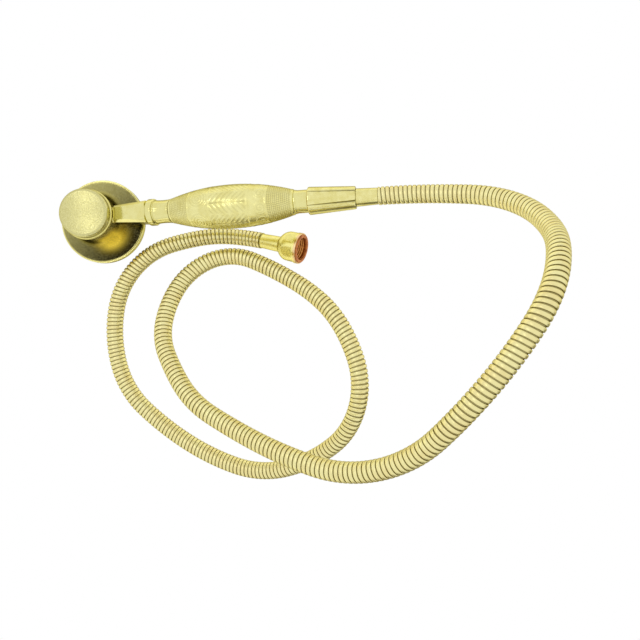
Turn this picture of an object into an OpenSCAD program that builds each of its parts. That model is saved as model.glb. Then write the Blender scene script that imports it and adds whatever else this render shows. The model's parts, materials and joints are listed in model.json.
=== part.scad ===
// Hand shower on a coiled metal hose, lying on its spray rim.
// Millimetres, +Z up. The origin is the centre of the spray rim on the table,
// and +X runs under the handle towards the hose.

/* [Head] */
// Diameter over the rim ring
rim_d = 74; // [70:1:78]
// Height of the rim ring
rim_h = 5.2; // [5:0.1:5.4]
// Diameter of the barrel above the bell
barrel_d = 40; // [39:0.5:41]
// Height of the barrel's top edge
barrel_top = 39.5; // [39:0.5:40]
// Diameter of the back cap
cap_d = 40.4; // [39:0.2:41]
// Height of the back cap above the barrel
cap_h = 8; // [6:0.5:9]
// Radius of the cap's rounded edge
cap_round = 3; // [3:0.5:5.5]
// Rings of nozzles in the spray plate
nozzle_rings = 5; // [3:1:5]

/* [Handle] */
// Rise of the handle above the table, in degrees
tilt = 10; // [9:0.5:11]
// Height of the handle's axis over the centre of the rim
axis_h = 26.8; // [26:0.2:27.6]
// Width of the neck bar at the head
stub_w_head = 14; // [13:0.5:15]
// Width of the neck bar at the grip
stub_w_grip = 18; // [17:0.5:19]
// Length of the neck bar
stub_len = 30; // [26:1:31]
// Length of the bead ring
bead_len = 7; // [7:0.5:8]
// Length of the front collar
collar_len = 13.3; // [11:0.1:14]
// Length of the grip
grip_len = 105; // [100:0.5:115]
// Diameter of the grip at its middle
grip_d = 35.6; // [33:0.2:38]
// Diameter of the grip at its ends
grip_end_d = 19.6; // [18.6:0.2:19.6]
// Length of the tail collar
tail_len = 10.9; // [10.9:0.1:13.1]

/* [Hose] */
// Outside diameter of the metal hose
hose_d = 14; // [13.6:0.1:14.4]
// Diameter of the water liner inside the hose
liner_d = 10.4; // [10.3:0.05:10.45]
// Largest bend at each of the hose's three long flex points, in degrees
flex_max = 20; // [10:1:22]

/* [Hose nuts] */
// Diameter of the fluted nut at the handle
nut_d_wide = 22; // [21.8:0.1:23]
// Diameter of the fluted nut at the hose
nut_d_narrow = 17.7; // [17.2:0.1:18.4]
// Length of the fluted nut
nut_len = 37.4; // [36:0.2:39]
// Number of lands round the fluted nut
flutes = 6; // [5:1:10]
// Width of the tap nut across its flats
tap_nut_flats = 24.6; // [24.2:0.1:25]
// Diameter of the tap nut's round mouth
tap_nut_d = 26.5; // [26.2:0.1:27]
// Rise of the tap nut, in degrees
tap_pitch = 20; // [18:1:22]
// Turn of the tap nut from the handle's direction, in degrees
tap_heading = -16; // [-18:1:-14]

/* [Hidden] */
$fn = 72;

gold = "#dcd587";
dark_gold = "#b9a95a";
brass = "#c9a650";
rubber = "#2b2b2b";
nylon = "#e9e6dc";
steel = "#b8b8b8";
red_rubber = "#a1703a";

wall = 2;
fine = 0.05;

// Head
rim_r = rim_d / 2;
plate_z = 2;
plate_t = 1.5;
seal_t = 1.5;
shelf_z = plate_z + plate_t + seal_t;
skirt_r = rim_r - 1;
skirt_in_r = skirt_r - 1.4;
barrel_r = barrel_d / 2;
flare_top = 22;
flare_r = skirt_r + 0.3 - barrel_r;
barrel_in_r = barrel_r - 4.8;
cap_seat_r = barrel_r - 2.8;
cap_seat_z = barrel_top - 4.5;
cap_seal_t = 1.3;
boss_r = 6.5;
boss_s = 12;
boss_len = 10;
spigot_r = 4.9;
neck_bore_r = 3.5;
screw_r = 1.5;
post_r = 4;
distributor_z = 8;
distributor_t = 1.5;

// Stretches along the handle's axis, measured from the centre of the head
stub_s = 22.4;
bead_s = stub_s + stub_len;
collar_s = bead_s + bead_len;
grip_s = collar_s + collar_len;
tail_s = grip_s + grip_len;
nipple_s = tail_s + tail_len;
nut_s = nipple_s + 0.3;
nut_end_s = nut_s + nut_len;
ferrule_len = 17.2;
hose_s = nut_end_s + ferrule_len;

// Water way through the handle
tube_r = 6;
tube_in_r = 4.8;
tube_start_s = bead_s - 4;
tube_end_s = tail_s + 5.5;
spigot_len = 3;
fitting_r = 7.9;
fitting_in_r = 6.95;
valve_s = tube_end_s + 1.7;

// Check valve
cage_len = 13.6;
cage_base_t = 1.6;
cage_in_r = 5.6;
stem_r = 1.2;
poppet_t = 1.8;
poppet_travel = 2;
seat_s = valve_s + cage_len;
poppet_s = seat_s - 0.1 - poppet_t;

// Half-inch pipe thread, as plain cylinders at its inner diameter
thread_r = 9.32;
nipple_r = 9.22;
nipple_len = 11.8;
washer_t = 2;
flange_t = 2;
flange_r = 9.1;
slip_t = 0.8;
insert_s = nipple_s + nipple_len + washer_t;
shoulder_s = insert_s + flange_t + slip_t + 0.1;

// Hose
hose_r = hose_d / 2;
sheath_in_r = hose_r - 1.2;
liner_r = liner_d / 2;
liner_in_r = 3.6;
barb_r = 3.55;
barb_in_r = 2.7;
swivel_r = 6.6;
liner_lead = 34;
flex_gap = 2 * (hose_r * tan(flex_max / 2) + fine);
turn_gap = 0.04;

// Tap end, measured from the end of the metal hose
tap_ferrule_len = 18;
tap_nut_t = tap_ferrule_len + 0.4;
tap_nut_len = 19.6;
tap_mouth_t = tap_nut_t + tap_nut_len;
tap_shoulder_t = tap_nut_t + 7.5;
tap_flange_t = tap_shoulder_t + slip_t + 0.1;
gasket_r = tap_nut_d / 2 - 1;
gasket_in_r = thread_r + 0.3;
gasket_depth = 1.2;
gasket_t = 2.4;

// Vectors
function unit(v) = v / norm(v);
function heading(turn, rise) = [cos(rise) * cos(turn), cos(rise) * sin(turn), sin(rise)];

handle_dir = heading(0, tilt);
tap_dir = heading(tap_heading, tap_pitch);
hose_start = [0, 0, axis_h] + hose_s * handle_dir;

// Places that the hose passes, from the handle to the tap: up and over on the
// right, down and round through two clockwise turns, and out at the middle.
route = [
    hose_start,
    [338, -34, 137], [329, -68, 176], [285, -135, 182], [227, -189, 149], [138, -177, 101],
    [83, -140, 73], [65, -92, 50], [95, -44, 33], [174, -64, 48], [208, -100, 63],
    [220, -154, 70], [160, -216, 42], [71, -197, 15], [12, -129, 9], [37, -36, 9],
    [89, -18, 8],
    [143, -23, 12]
];
// Places on the route where the hose flexes, which divide it into links
flex_at = [0, 3, 5, 8, 11, 13, 15, len(route) - 1];
tap_start = route[len(route) - 1];

// Direction of the hose at one place on the route: along the circle through
// that place and its two neighbours, and fixed at the two ends
function route_dir(i) =
    i == 0 ? handle_dir :
    i == len(route) - 1 ? tap_dir :
    let (before = route[i] - route[i - 1], after = route[i + 1] - route[i])
    unit(unit(before) * norm(after) + unit(after) * norm(before));

// Point where two equal-tangent arcs from p (along t) to q (along u) meet
function arcs_meet(p, t, q, u) =
    let (v = q - p, s = t + u, k = 2 * (1 - t * u))
    let (reach = (sqrt((v * s) ^ 2 + k * (v * v)) - v * s) / k)
    (p + q + reach * (t - u)) / 2;

// Direction at q of the arc that leaves p along t
function dir_after(p, t, q) = let (c = unit(q - p)) 2 * (c * t) * c - t;

// Places children at a distance along the handle, with +Z along the handle
module on_handle(s) {
    translate([0, 0, axis_h]) rotate([0, 90 - tilt, 0]) translate([0, 0, s]) children();
}

// Places children at a distance past the hose's tap end, with +Z out of the mouth
module on_tap(t) {
    translate(tap_start) rotate([0, 90 - tap_pitch, tap_heading]) translate([0, 0, t]) children();
}

module ring(r, r_in, h) {
    difference() {
        cylinder(r = r, h = h);
        translate([0, 0, -1]) cylinder(r = r_in, h = h + 2);
    }
}

// Tube along one arc from p, which it leaves along t, to q.
// cut_p and cut_q shorten it at either end.
module arc_tube(p, t, q, r, r_in, cut_p, cut_q) {
    chord = q - p;
    inward = unit(chord - (chord * t) * t);
    angle = 2 * atan2(norm(cross(t, chord)), chord * t);
    bend_r = norm(chord) / (2 * sin(angle / 2));
    centre = p + bend_r * inward;
    x = -inward;
    z = cross(x, t);
    trim_p = cut_p / bend_r * 180 / PI;
    trim_q = cut_q / bend_r * 180 / PI;
    multmatrix([
        [x[0], t[0], z[0], centre[0]],
        [x[1], t[1], z[1], centre[1]],
        [x[2], t[2], z[2], centre[2]],
        [0, 0, 0, 1]
    ])
        rotate([0, 0, trim_p])
            rotate_extrude(angle = angle - trim_p - trim_q, $fn = 120)
                translate([bend_r, 0]) difference() {
                    circle(r, $fn = 36);
                    circle(r_in, $fn = 36);
                }
}

// One link of hose between two flex points: turns of tube, each an arc that
// leaves off where the next one starts
module hose_link(k, r, r_in) {
    first = flex_at[k - 1];
    last = flex_at[k];
    for (i = [first : last - 1]) {
        t = route_dir(i);
        u = route_dir(i + 1);
        m = arcs_meet(route[i], t, route[i + 1], u);
        gap_before = i == first && i > 0 ? flex_gap : turn_gap;
        gap_after = i + 1 == last && last < len(route) - 1 ? flex_gap : turn_gap;
        arc_tube(route[i], t, m, r, r_in, gap_before / 2, turn_gap / 2);
        arc_tube(m, dir_after(route[i], t, m), route[i + 1], r, r_in, turn_gap / 2, gap_after / 2);
    }
}

module sheath(k) {
    color(k % 2 == 0 ? gold : dark_gold) hose_link(k, hose_r, sheath_in_r);
}

module liner(k) {
    color(nylon) hose_link(k, liner_r, liner_in_r);
}

// ---- Head ----

// Outline of the bell and barrel, solid to the axis
module bell_outline() {
    square([barrel_r, barrel_top]);
    translate([barrel_r - 0.1, barrel_top - 1.3]) circle(r = 1.3);
    difference() {
        translate([0, plate_z + fine]) square([skirt_r, flare_top - plate_z - fine]);
        translate([barrel_r + flare_r, flare_top]) circle(r = flare_r);
    }
}

// Outline of the hollow inside the bell and barrel
module bell_hollow() {
    square([skirt_in_r, shelf_z]);
    square([barrel_in_r, barrel_top]);
    translate([0, cap_seat_z]) square([cap_seat_r, barrel_top]);
    difference() {
        square([skirt_in_r - 2, flare_top]);
        translate([barrel_r + flare_r, flare_top]) circle(r = flare_r + wall);
    }
}

module bell_shell() {
    color(gold) difference() {
        union() {
            rotate_extrude() bell_outline();
            on_handle(boss_s) cylinder(r = boss_r, h = boss_len);
        }
        rotate_extrude() bell_hollow();
        on_handle(stub_s - 6) cylinder(r = spigot_r + fine, h = 10);
        on_handle(10) cylinder(r = neck_bore_r, h = 12);
    }
}

module rim_ring() {
    lip_in_r = skirt_in_r - 3.6;
    color(gold) rotate_extrude() {
        difference() {
            union() {
                translate([lip_in_r, 0]) square([rim_r - 1 - lip_in_r, plate_z]);
                translate([rim_r - 1, 1]) circle(r = 1);
                translate([skirt_r + fine, 1]) square([1 - fine, rim_h - 1]);
            }
            translate([lip_in_r - 1, plate_z]) square([skirt_r + fine - lip_in_r + 1, rim_h]);
        }
    }
}

module spray_plate() {
    ring_step = 5;
    nozzle_r = 0.6;
    color(gold) difference() {
        translate([0, 0, plate_z]) cylinder(r = skirt_in_r - 0.2, h = plate_t);
        cylinder(r = screw_r + 0.2, h = 10);
        for (k = [1 : nozzle_rings], i = [0 : 6 * k - 1])
            rotate([0, 0, i * 60 / k]) translate([1 + ring_step * k, 0, 0]) cylinder(r = nozzle_r, h = 10);
    }
}

module face_seal() {
    color(rubber) translate([0, 0, plate_z + plate_t]) ring(skirt_in_r - 0.2, skirt_in_r - 4.4, seal_t);
}

module distributor() {
    disc_r = 22.7;
    post_z = plate_z + plate_t;
    color(nylon) difference() {
        union() {
            translate([0, 0, distributor_z]) cylinder(r = disc_r, h = distributor_t);
            translate([0, 0, post_z]) cylinder(r = post_r, h = distributor_z - post_z + 1);
        }
        cylinder(r = screw_r + fine, h = distributor_z + 0.5);
        for (i = [0 : 9]) rotate([0, 0, i * 36]) translate([16, 0, 0]) cylinder(r = 1.8, h = 20);
    }
}

module face_screw() {
    head_r = 3.4;
    head_t = 1.3;
    color(steel) difference() {
        union() {
            translate([0, 0, plate_z - head_t]) cylinder(r = head_r, h = head_t);
            translate([0, 0, plate_z - 0.5]) cylinder(r = screw_r, h = 6);
        }
        translate([-head_r - 1, -0.4, 0]) cube([2 * head_r + 2, 0.8, plate_z - 0.6]);
    }
}

module back_cap() {
    cap_r = cap_d / 2;
    crown_r = 160;
    skirt_z = cap_seat_z + cap_seal_t;
    hollow_r = cap_seat_r - 1.8;
    color(gold) rotate_extrude() difference() {
        union() {
            intersection() {
                translate([0, barrel_top]) union() {
                    square([cap_r, cap_h - cap_round]);
                    square([cap_r - cap_round, cap_h]);
                    translate([cap_r - cap_round, cap_h - cap_round]) circle(r = cap_round);
                }
                translate([0, barrel_top + cap_h - crown_r]) circle(r = crown_r, $fn = 720);
                translate([0, barrel_top]) square([cap_r, cap_h]);
            }
            translate([0, skirt_z]) square([cap_seat_r - 0.1, barrel_top - skirt_z + 0.5]);
        }
        translate([-1, 0]) square([hollow_r + 1, barrel_top + cap_h - 3.5]);
        translate([-50, 0]) square([50, 100]);
    }
}

module cap_seal() {
    color(rubber) translate([0, 0, cap_seat_z]) ring(cap_seat_r - 0.1, barrel_in_r + 0.2, cap_seal_t);
}

// ---- Handle ----

// Square with its four edges chamfered
module chamfered_square(w) {
    intersection() {
        square(w, center = true);
        rotate(45) square(1.2 * w, center = true);
    }
}

module neck_bar() {
    color(gold) difference() {
        union() {
            on_handle(stub_s) hull() {
                linear_extrude(0.1) chamfered_square(stub_w_head - 2);
                translate([0, 0, 1.2]) linear_extrude(0.1) chamfered_square(stub_w_head);
                translate([0, 0, stub_len - 0.1]) linear_extrude(0.1) chamfered_square(stub_w_grip);
            }
            on_handle(stub_s - 5) cylinder(r = spigot_r, h = 6);
        }
        on_handle(stub_s - 6) cylinder(r = neck_bore_r, h = stub_len + 10);
        on_handle(tube_start_s - 1) cylinder(r = tube_r + fine, h = 10);
    }
}

module bead_ring() {
    bead_r = 3;
    color(gold) on_handle(bead_s) rotate_extrude() difference() {
        union() {
            square([stub_w_grip / 2 + 0.6, bead_len]);
            translate([stub_w_grip / 2 - 1, bead_len / 2]) circle(r = bead_r);
        }
        translate([-20, -1]) square([20 + tube_r + fine, bead_len + 2]);
    }
}

module front_collar() {
    waist_r = 9.4;
    hollow_r = 30;
    color(gold) on_handle(collar_s) rotate_extrude() difference() {
        union() {
            square([grip_end_d / 2 + 0.1, collar_len]);
            square([grip_end_d / 2 - wall + 0.1, collar_len + spigot_len]);
        }
        translate([waist_r + hollow_r, collar_len / 2]) circle(r = hollow_r, $fn = 360);
        translate([-20, -1]) square([20 + tube_r + fine, collar_len + spigot_len + 2]);
    }
}

module grip_shell() {
    skin = 1.7;
    bow = (grip_d - grip_end_d) / 2;
    bow_r = ((grip_len / 2) ^ 2 + bow ^ 2) / (2 * bow);
    color(gold) on_handle(grip_s) rotate_extrude() intersection() {
        translate([grip_d / 2 - bow_r, grip_len / 2]) difference() {
            circle(r = bow_r, $fn = 720);
            circle(r = bow_r - skin, $fn = 720);
        }
        square([grip_d, grip_len]);
    }
}

module water_tube() {
    groove_depth = 0.6;
    color(brass) difference() {
        on_handle(tube_start_s) ring(tube_r, tube_in_r, tube_end_s - tube_start_s);
        for (s = [tube_start_s + 1.4, tube_end_s - 2.6])
            on_handle(s) ring(tube_r + 1, tube_r - groove_depth, 1.2);
    }
}

module tube_seals() {
    cord_r = 0.3;
    color(rubber) for (s = [tube_start_s + 2, tube_end_s - 2])
        on_handle(s) rotate_extrude() translate([tube_r - cord_r + fine, 0]) circle(r = cord_r, $fn = 24);
}

module tail_collar() {
    collar_r = 9.05;
    lip_len = 1.4;
    color(gold) on_handle(tail_s) difference() {
        union() {
            cylinder(r = collar_r, h = tail_len);
            cylinder(r = collar_r + 0.35, h = lip_len);
            translate([0, 0, -spigot_len]) cylinder(r = grip_end_d / 2 - wall + 0.1, h = spigot_len + 1);
        }
        translate([0, 0, -10]) cylinder(r = tube_r + fine, h = 20);
        translate([0, 0, 1.4]) cylinder(r = fitting_r + fine, h = tail_len);
    }
}

module tail_fitting() {
    color(brass) difference() {
        union() {
            on_handle(tail_s + 1.5) cylinder(r = fitting_r, h = tail_len);
            on_handle(nipple_s) cylinder(r = nipple_r, h = nipple_len);
        }
        on_handle(tail_s) cylinder(r = tube_r + fine, h = tube_end_s - tail_s);
        on_handle(tail_s) cylinder(r = tube_in_r, h = 20);
        on_handle(valve_s - 0.2) cylinder(r = fitting_in_r, h = 30);
    }
}

// ---- Check valve in the tail fitting: water lifts the poppet towards the grip ----

module valve_cage() {
    color(nylon) on_handle(valve_s) difference() {
        cylinder(r = fitting_in_r - fine, h = cage_len);
        translate([0, 0, cage_base_t]) cylinder(r = cage_in_r, h = cage_len);
        translate([0, 0, -1]) cylinder(r = stem_r + fine, h = 5);
        for (a = [45 : 90 : 315]) rotate([0, 0, a]) translate([3.6, 0, -1]) cylinder(r = 1.1, h = 5);
    }
}

module valve_seat() {
    color(nylon) on_handle(seat_s) ring(fitting_in_r - fine, 3.3, 1.7);
}

module valve_poppet() {
    stem_start_s = valve_s - 0.3;
    color("white") {
        on_handle(poppet_s) cylinder(r = 4.4, h = poppet_t);
        on_handle(stem_start_s) cylinder(r = stem_r, h = poppet_s - stem_start_s + 1);
    }
}

// Spring of half turns, each tilted to climb half a pitch, at its shortest length
module valve_spring() {
    wire_r = 0.3;
    coil_r = 2.6;
    turns = 5;
    start = valve_s + cage_base_t + 2 * wire_r;
    climb = (poppet_s - poppet_travel - 2 * wire_r - 0.2 - start) / (2 * turns);
    lean = atan(climb / (2 * coil_r));
    color(steel) on_handle(start) for (i = [0 : 2 * turns - 1])
        translate([0, 0, (i + 0.5) * climb]) rotate([0, 0, 180 * i]) rotate([0, -lean, 0])
            rotate([0, 0, 180]) rotate_extrude(angle = 180) translate([coil_r / cos(lean), 0])
                circle(r = wire_r, $fn = 24);
}

// ---- Joint between the handle and the hose ----

module handset_washer() {
    color(rubber) on_handle(nipple_s + nipple_len) ring(flange_r, 5.2, washer_t);
}

module fluted_nut() {
    groove_w = 1.1;
    groove_s = 14;
    taper = atan((nut_d_wide - nut_d_narrow) / 2 / nut_len);
    color(gold) difference() {
        on_handle(nut_s) cylinder(r1 = nut_d_wide / 2, r2 = nut_d_narrow / 2, h = nut_len);
        on_handle(nut_s - 1) cylinder(r = thread_r, h = shoulder_s - nut_s + 1);
        on_handle(nut_s) cylinder(r = swivel_r + 0.1, h = nut_len + 1);
        for (i = [0 : flutes - 1])
            on_handle(nut_s + nut_len) rotate([0, 0, (i + 0.5) * 360 / flutes])
                translate([nut_d_narrow / 2, 0, 0]) rotate([0, -taper - 1.2, 0]) rotate([0, 0, 45])
                    translate([-groove_w / 2, -groove_w / 2, -nut_len - groove_s])
                        cube([groove_w, groove_w, nut_len + groove_s + 5]);
    }
}

module slip_ring() {
    color(nylon) on_handle(insert_s + flange_t) ring(flange_r, swivel_r + 0.3, slip_t);
}

// Flanged and barbed insert that holds the liner, pointing along +Z
module barbed_insert(length) {
    barb_step = 3;
    color(brass) difference() {
        union() {
            cylinder(r = flange_r, h = flange_t);
            cylinder(r = barb_r - 0.15, h = length);
            for (i = [0 : 3]) translate([0, 0, length - 3 - i * barb_step])
                cylinder(r1 = barb_r - 0.1, r2 = barb_r - 0.15, h = 2);
        }
        translate([0, 0, -1]) cylinder(r = barb_in_r, h = length + 2);
    }
}

module handset_insert() {
    on_handle(insert_s) barbed_insert(36);
}

module handset_ferrule() {
    color(gold) on_handle(nut_end_s) difference() {
        union() {
            translate([0, 0, -18]) cylinder(r = swivel_r, h = 19);
            translate([0, 0, 0.3]) cylinder(r1 = 7.05, r2 = 6.4, h = ferrule_len - 0.4);
            translate([0, 0, ferrule_len - 1]) cylinder(r = sheath_in_r - 0.25, h = 4);
        }
        translate([0, 0, -19]) cylinder(r = liner_r + 0.1, h = ferrule_len + 30);
    }
}

// Straight end of the liner inside the handset ferrule
module liner_lead_in() {
    color(nylon) on_handle(hose_s - liner_lead) ring(liner_r, liner_in_r, liner_lead);
}

// ---- Tap end ----

module tap_ferrule() {
    color(gold) on_tap(0) difference() {
        union() {
            translate([0, 0, 0.1]) cylinder(r1 = 6.3, r2 = 6.8, h = tap_ferrule_len);
            translate([0, 0, -3]) cylinder(r = sheath_in_r - 0.25, h = 4);
            translate([0, 0, tap_ferrule_len - 1]) cylinder(r = 6, h = tap_shoulder_t - tap_ferrule_len);
        }
        translate([0, 0, -4]) cylinder(r = liner_r + 0.1, h = 40);
    }
}

module tap_insert() {
    on_tap(tap_flange_t + flange_t) rotate([180, 0, 0]) barbed_insert(26);
}

module tap_slip_ring() {
    color(nylon) on_tap(tap_shoulder_t) ring(flange_r, 6.6, slip_t);
}

// Round-shouldered hexagon nut
module tap_nut() {
    dome_len = 11;
    dome_base_r = 7;
    mouth_r = tap_nut_d / 2;
    dome_r = (dome_len ^ 2 + (mouth_r - dome_base_r) ^ 2) / (2 * (mouth_r - dome_base_r));
    relief_end_t = tap_flange_t + flange_t + 0.2;
    color(gold) on_tap(0) difference() {
        intersection() {
            translate([0, 0, tap_nut_t]) rotate_extrude() union() {
                intersection() {
                    square([mouth_r, dome_len]);
                    translate([mouth_r - dome_r, dome_len]) circle(r = dome_r, $fn = 180);
                }
                translate([0, dome_len]) square([mouth_r, tap_nut_len - dome_len]);
            }
            union() {
                translate([0, 0, tap_nut_t - 1])
                    cylinder(r = tap_nut_flats / 2 / cos(30), h = tap_nut_len - 3, $fn = 6);
                translate([0, 0, tap_mouth_t - 4]) cylinder(r = mouth_r, h = 10);
            }
        }
        translate([0, 0, tap_nut_t - 1]) cylinder(r = 6.1, h = 30);
        translate([0, 0, tap_shoulder_t]) cylinder(r = thread_r + 0.2, h = relief_end_t - tap_shoulder_t);
        translate([0, 0, tap_shoulder_t]) cylinder(r = thread_r, h = 30);
        translate([0, 0, tap_mouth_t - gasket_depth]) cylinder(r = gasket_r + fine, h = 10);
    }
}

module tap_gasket() {
    color(red_rubber) on_tap(tap_mouth_t - gasket_depth) ring(gasket_r, gasket_in_r, gasket_t);
}

// Straight end of the liner inside the tap ferrule
module liner_lead_out() {
    color(nylon) on_tap(0) ring(liner_r, liner_in_r, tap_shoulder_t - 1);
}

module liner_1() {
    liner_lead_in();
    liner(1);
}

module liner_7() {
    liner(7);
    liner_lead_out();
}

bell_shell();
rim_ring();
spray_plate();
face_seal();
distributor();
face_screw();
back_cap();
cap_seal();
neck_bar();
bead_ring();
front_collar();
grip_shell();
water_tube();
tube_seals();
tail_collar();
tail_fitting();
valve_cage();
valve_seat();
valve_spring();
valve_poppet();
handset_washer();
fluted_nut();
slip_ring();
handset_insert();
handset_ferrule();
sheath(1);  // sheath_1
sheath(2);  // sheath_2
sheath(3);  // sheath_3
sheath(4);  // sheath_4
sheath(5);  // sheath_5
sheath(6);  // sheath_6
sheath(7);  // sheath_7
liner_1();
liner(2);  // liner_2
liner(3);  // liner_3
liner(4);  // liner_4
liner(5);  // liner_5
liner(6);  // liner_6
liner_7();
tap_ferrule();
tap_insert();
tap_slip_ring();
tap_nut();
tap_gasket();
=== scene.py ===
"""Hand shower on a coiled metal hose: looks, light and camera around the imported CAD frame.

Shapes are worked out in millimetres and turned into metres when a mesh is made.
"""

import json
import math

import bpy
import numpy as np
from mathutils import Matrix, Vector


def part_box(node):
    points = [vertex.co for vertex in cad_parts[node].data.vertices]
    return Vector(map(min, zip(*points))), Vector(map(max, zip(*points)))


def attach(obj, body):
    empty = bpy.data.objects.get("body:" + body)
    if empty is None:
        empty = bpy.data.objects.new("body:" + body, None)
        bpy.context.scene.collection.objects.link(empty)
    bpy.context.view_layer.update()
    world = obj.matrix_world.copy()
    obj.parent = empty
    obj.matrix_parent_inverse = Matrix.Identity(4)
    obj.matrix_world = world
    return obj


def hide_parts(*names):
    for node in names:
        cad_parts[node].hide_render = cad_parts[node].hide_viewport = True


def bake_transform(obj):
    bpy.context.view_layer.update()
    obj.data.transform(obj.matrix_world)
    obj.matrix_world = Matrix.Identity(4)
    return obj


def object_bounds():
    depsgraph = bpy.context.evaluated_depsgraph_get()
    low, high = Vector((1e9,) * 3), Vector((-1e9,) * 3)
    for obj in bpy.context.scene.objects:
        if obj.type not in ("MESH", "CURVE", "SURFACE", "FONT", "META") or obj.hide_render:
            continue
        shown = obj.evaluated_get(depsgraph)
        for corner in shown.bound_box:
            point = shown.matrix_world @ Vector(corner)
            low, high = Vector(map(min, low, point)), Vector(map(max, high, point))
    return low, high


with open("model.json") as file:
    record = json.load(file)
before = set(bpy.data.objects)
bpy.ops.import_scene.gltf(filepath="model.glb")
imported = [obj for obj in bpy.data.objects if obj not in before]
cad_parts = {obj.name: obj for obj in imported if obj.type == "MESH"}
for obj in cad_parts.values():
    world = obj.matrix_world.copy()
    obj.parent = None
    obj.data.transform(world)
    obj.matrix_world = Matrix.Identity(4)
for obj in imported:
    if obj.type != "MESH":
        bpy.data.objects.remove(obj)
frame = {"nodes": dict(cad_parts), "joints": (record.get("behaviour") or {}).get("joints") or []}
cad_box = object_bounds()

MM = 0.001
TAU = 2 * math.pi
JOINTS = {joint["name"]: joint for joint in frame["joints"]}


# ---- Places taken from the frame ----


def unit(v):
    return v / np.linalg.norm(v)


def place_at(point, axis):
    """4x4 matrix, in millimetres, whose z axis points along axis and whose y axis is level."""
    z = unit(np.array(axis, float))
    y = unit(np.cross((0, 0, 1), z))
    m = np.eye(4)
    m[:3, 0], m[:3, 1], m[:3, 2], m[:3, 3] = np.cross(y, z), y, z, point
    return m


def joint_place(name):
    joint = JOINTS[name]
    return place_at(np.array(joint["pos_m"]) / MM, joint["axis"])


def carry(place, points):
    return np.asarray(points, float) @ place[:3, :3].T + place[:3, 3]


def node_points(node):
    data = frame["nodes"][node].data
    co = np.empty(3 * len(data.vertices), np.float32)
    data.vertices.foreach_get("co", co)
    return co.reshape(-1, 3).astype(float) / MM


def reach(node, place):
    """(start, end, largest radius) of a CAD node along the z axis of a place."""
    local = (node_points(node) - place[:3, 3]) @ place[:3, :3]
    return local[:, 2].min(), local[:, 2].max(), np.hypot(local[:, 0], local[:, 1]).max()


HEAD = np.eye(4)
swivel = joint_place("hose_swivel")
handle_dir = swivel[:3, 2]
axis_start = swivel[:3, 3] - swivel[0, 3] / handle_dir[0] * handle_dir
HANDLE = place_at(axis_start, handle_dir)


# ---- Mesh tools ----


def mesh_object(name, points, faces, material, sharp_deg=35, attributes=None):
    """Piece from points in millimetres and faces, smooth apart from edges sharper than sharp_deg."""
    mesh = bpy.data.meshes.new(name)
    mesh.from_pydata((np.asarray(points) * MM).tolist(), [], faces)
    mesh.validate()
    mesh.set_sharp_from_angle(angle=math.radians(sharp_deg))
    for key, values in (attributes or {}).items():
        layer = mesh.attributes.new(key, "FLOAT", "POINT")
        layer.data.foreach_set("value", np.asarray(values, np.float32))
    mesh.materials.append(material)
    piece = bpy.data.objects.new(name, mesh)
    bpy.context.scene.collection.objects.link(piece)
    return piece


def grid_faces(rows, columns, close_rows=False, flip=False):
    """Quads over a grid of points that is stored row by row, each row a closed ring."""
    faces = []
    for i in range(rows if close_rows else rows - 1):
        for j in range(columns):
            a, b = i * columns + j, i * columns + (j + 1) % columns
            c = (i + 1) % rows * columns + (j + 1) % columns
            d = (i + 1) % rows * columns + j
            faces.append((a, d, c, b) if flip else (a, b, c, d))
    return faces


def rounded(corners, steps=5):
    """Outline whose corners (x, y, radius) are rounded with arcs, going round once."""
    points = np.array([c[:2] for c in corners], float)
    out = []
    for i, corner in enumerate(corners):
        here, radius = points[i], corner[2] if len(corner) > 2 else 0
        before, after = points[i - 1] - here, points[(i + 1) % len(points)] - here
        if radius <= 0:
            out.append(here)
            continue
        u, v = unit(before), unit(after)
        half = math.acos(np.clip(u @ v, -1, 1)) / 2
        cut = min(radius / math.tan(half), 0.48 * np.linalg.norm(before), 0.48 * np.linalg.norm(after))
        r = cut * math.tan(half)
        centre = here + unit(u + v) * r / math.sin(half)
        start, end = here + u * cut - centre, here + v * cut - centre
        turn = math.atan2(start[0] * end[1] - start[1] * end[0], start @ end)
        for k in range(steps + 1):
            a = turn * k / steps
            c, s = math.cos(a), math.sin(a)
            out.append(centre + (start[0] * c - start[1] * s, start[0] * s + start[1] * c))
    return np.array(out)


def lathe(name, outline, place, material, segments=96, sharp_deg=35):
    """Closed outline of (radius, along) points turned about the z axis of a place."""
    points, faces = lathe_parts(outline, segments)
    return mesh_object(name, carry(place, points), faces, material, sharp_deg)


def lathe_parts(outline, segments):
    """Points and faces of a turned outline. Points on the axis are shared by the whole turn."""
    outline = np.asarray(outline, float)
    area = np.sum(outline[:, 0] * np.roll(outline[:, 1], -1) - np.roll(outline[:, 0], -1) * outline[:, 1])
    if area < 0:
        outline = outline[::-1]
    angles = np.arange(segments) * TAU / segments
    points, index = [], []
    for r, z in outline:
        if r < 1e-6:
            index.append([len(points)] * segments)
            points.append((0, 0, z))
        else:
            index.append([len(points) + k for k in range(segments)])
            points.extend((r * math.cos(a), r * math.sin(a), z) for a in angles)
    faces = []
    for ring, after in zip(index, index[1:] + index[:1]):
        for k in range(segments):
            n = (k + 1) % segments
            face = list(dict.fromkeys((ring[k], ring[n], after[n], after[k])))
            if len(face) > 2:
                faces.append(face)
    return points, faces


def merge(parts):
    """One list of points and faces from several, each already numbered from its own first point."""
    points, faces = [], []
    for part_points, part_faces in parts:
        first = len(points)
        points.extend(part_points)
        faces.extend([tuple(first + k for k in face) for face in part_faces])
    return np.array(points), faces


def polar_shell(outer, inner):
    """Closed shell from two grids of points, [along, around, xyz], joined at both ends."""
    rows, columns = outer.shape[:2]
    loop = np.concatenate([outer, inner[::-1]])
    return loop.reshape(-1, 3), grid_faces(2 * rows, columns, close_rows=True)


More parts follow.
